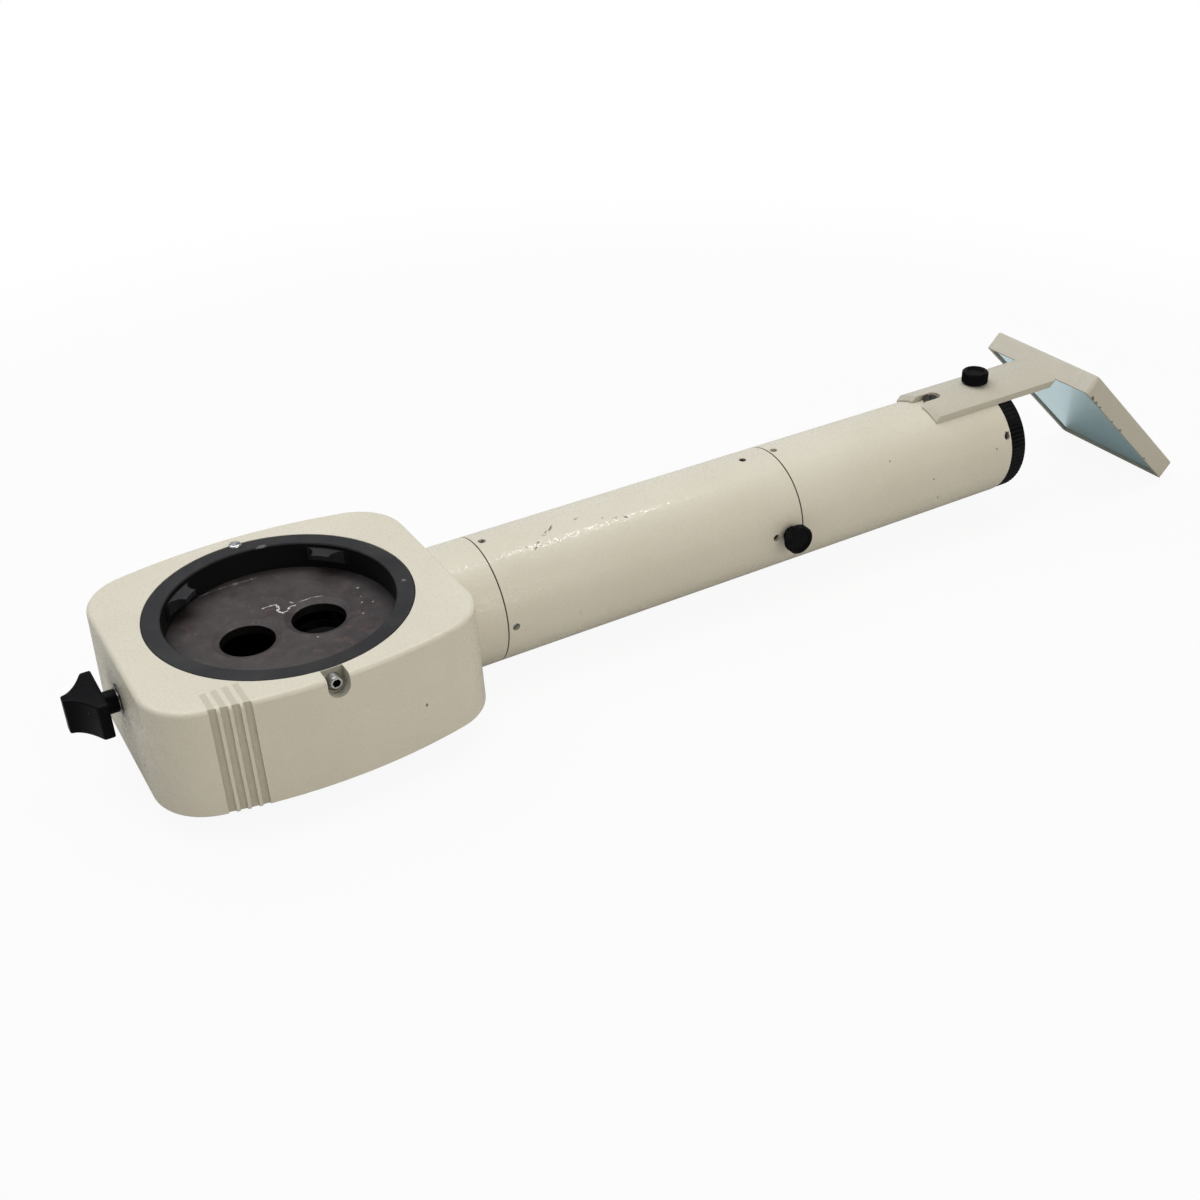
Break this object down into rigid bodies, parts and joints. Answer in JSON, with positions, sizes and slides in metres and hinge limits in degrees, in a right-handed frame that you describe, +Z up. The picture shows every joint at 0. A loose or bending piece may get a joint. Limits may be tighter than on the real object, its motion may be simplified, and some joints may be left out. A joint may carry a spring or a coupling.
{
  "type": "microscope drawing tube",
  "caption": "Camera lucida for a stereo microscope: flat beam-splitter body with a dovetail head seat, turning drawing tube with focusing ring, and a tilted mirror on a sliding arm.",
  "frame": {"origin": "centre of the dovetail foot's lower face", "axes": "+X from the body along the drawing tube towards the mirror, +Z up through the head seat, +Y completes the right-handed set, away from the side with the head clamp screw"},
  "size_m": [0.4504, 0.0994, 0.0606],
  "materials": {
    "cream_paint": "fine-textured semi-gloss cream paint",
    "black_ring": "black anodised, satin",
    "seat_black": "worn matt black with rubbed metal",
    "bright_steel": "turned bright steel",
    "dark_screw": "blackened steel",
    "black_plastic": "moulded black, satin",
    "inner_black": "matt black anodised",
    "plain_aluminium": "machined",
    "brass": "turned",
    "optical_glass": "polished, coated",
    "mirror_glass": "front-silvered, polished",
    "pad": "thin bonding pad"
  },
  "bodies": {
    "body": {"housing": "cream_paint", "seat_ring": "black_ring", "seat_plate": "seat_black", "seat_screws": "dark_screw", "index_pin": "bright_steel", "bottom_plate": "inner_black", "bottom_screws": "bright_steel", "foot_dovetail": "inner_black", "foot_screws": "dark_screw", "shaft_bush": "brass", "carriage_guide_screws": "bright_steel", "field_lens": "optical_glass", "field_lens_ring": "inner_black", "fixed_tube": "cream_paint", "neck_grub_screws": "dark_screw", "clamp_collar": "inner_black", "collar_grub_screws": "dark_screw"},
    "knob": {"path_knob": "black_plastic", "knob_set_screw": "dark_screw", "knob_shaft": "bright_steel", "drive_gear": "brass", "gear_clip": "bright_steel"},
    "carriage": {"prism_carriage": "plain_aluminium", "carriage_rack": "brass", "rack_screws": "bright_steel", "beam_splitter": "optical_glass", "compensator_glass": "optical_glass", "prism_bracket": "inner_black", "bracket_screws": "bright_steel"},
    "clamp": {"clamp_screw": "bright_steel"},
    "tube_screw": {"tube_thumb_knob": "black_plastic", "tube_thumb_stud": "bright_steel"},
    "outer_section": {"turning_sleeve": "inner_black", "sleeve_snap_ring": "bright_steel", "outer_tube": "cream_paint", "sleeve_screws": "dark_screw", "end_barrel": "inner_black", "barrel_screws": "dark_screw", "end_ring": "black_ring", "arm_guide_screw": "dark_screw"},
    "focus": {"focus_ring": "black_ring"},
    "lens": {"lens_cell": "inner_black", "focus_pin": "bright_steel", "objective_lens": "optical_glass", "lens_ring": "inner_black"},
    "mirror_arm": {"mirror_holder": "cream_paint", "mirror": "mirror_glass", "mirror_pad": "pad"},
    "arm_screw": {"arm_thumb_knob": "black_plastic", "arm_thumb_stud": "bright_steel"}
  },
  "joints": [
    {"name": "knob_turn", "type": "hinge", "parent": "body", "child": "knob", "pos_m": [-0.0542, 0, 0.0292], "axis": [1, 0, 0], "range_deg": [0, 90]},
    {"name": "carriage_slide", "type": "slide", "parent": "body", "child": "carriage", "axis": [0, 1, 0], "range_m": [0, 0.01728]},
    {"name": "clamp_screw_slide", "type": "slide", "parent": "body", "child": "clamp", "axis": [0, 1, 0], "range_m": [-0.002, 0.0024]},
    {"name": "tube_screw_turn", "type": "hinge", "parent": "body", "child": "tube_screw", "pos_m": [0.18378, -0.0289, 0.02255], "axis": [0, -1, 0], "range_deg": [0, 360]},
    {"name": "outer_turn", "type": "hinge", "parent": "body", "child": "outer_section", "pos_m": [0.19, 0, 0.02255], "axis": [1, 0, 0], "range_deg": [-90, 90]},
    {"name": "focus_turn", "type": "hinge", "parent": "outer_section", "child": "focus", "pos_m": [0.295, 0, 0.02255], "axis": [1, 0, 0], "range_deg": [-90, 90]},
    {"name": "lens_slide", "type": "slide", "parent": "outer_section", "child": "lens", "axis": [1, 0, 0], "range_m": [-0.0013, 0.0013]},
    {"name": "arm_slide", "type": "slide", "parent": "outer_section", "child": "mirror_arm", "axis": [1, 0, 0], "range_m": [0, 0.0024]},
    {"name": "arm_screw_turn", "type": "hinge", "parent": "outer_section", "child": "arm_screw", "pos_m": [0.2889, 0, 0.049], "axis": [0, 0, 1], "range_deg": [0, 360]}
  ],
  "couplings": [
    {"joint": "knob_turn", "follows": "carriage_slide", "rad_per_m": 90.909},
    {"joint": "focus_turn", "follows": "lens_slide", "rad_per_m": 1208.3}
  ]
}
